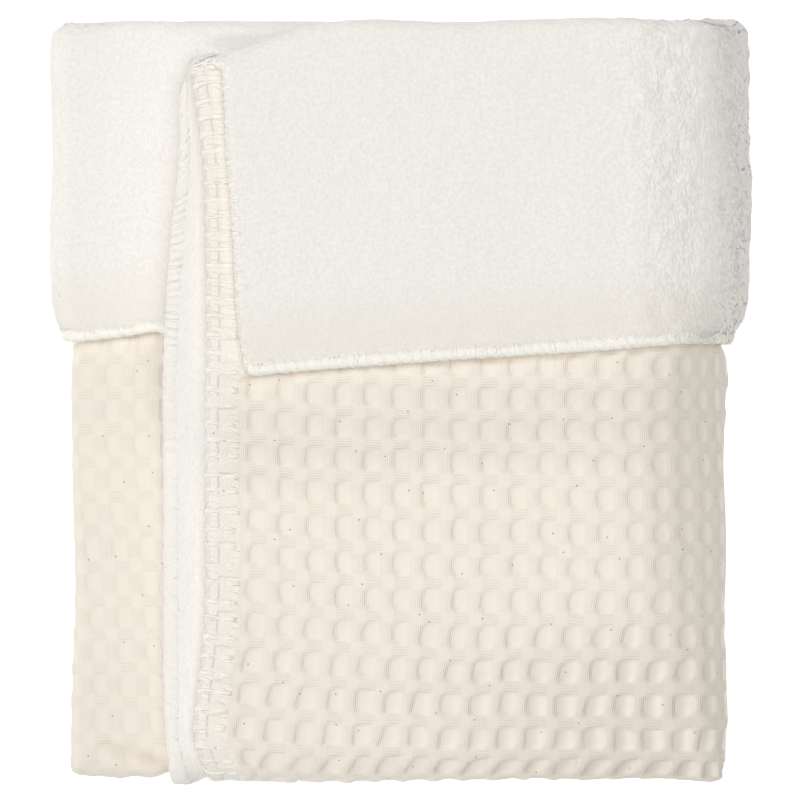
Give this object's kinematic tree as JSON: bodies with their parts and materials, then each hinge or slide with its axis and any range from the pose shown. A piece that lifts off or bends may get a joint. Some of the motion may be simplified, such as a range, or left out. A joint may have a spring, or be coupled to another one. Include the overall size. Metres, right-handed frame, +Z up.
{
  "type": "folded bassinet blanket",
  "caption": "Folded bassinet blanket with a cotton waffle outside and a plush lining, its top turned down as a plush cuff.",
  "frame": {"origin": "middle of the folded blanket's outline, on the surface that it lies on", "axes": "+X to the right across the bundle as seen from above, +Y up its length towards the cuff, +Z up from the surface"},
  "size_m": [0.2893, 0.3166, 0.0619],
  "materials": {
    "waffle_cotton": "matte natural cotton in a deep waffle weave, with sparse tiny seed flecks",
    "plush": "soft short-pile plush, matte"
  },
  "bodies": {
    "root": {"waffle_outer": "waffle_cotton", "plush_lining": "plush"}
  },
  "joints": []
}
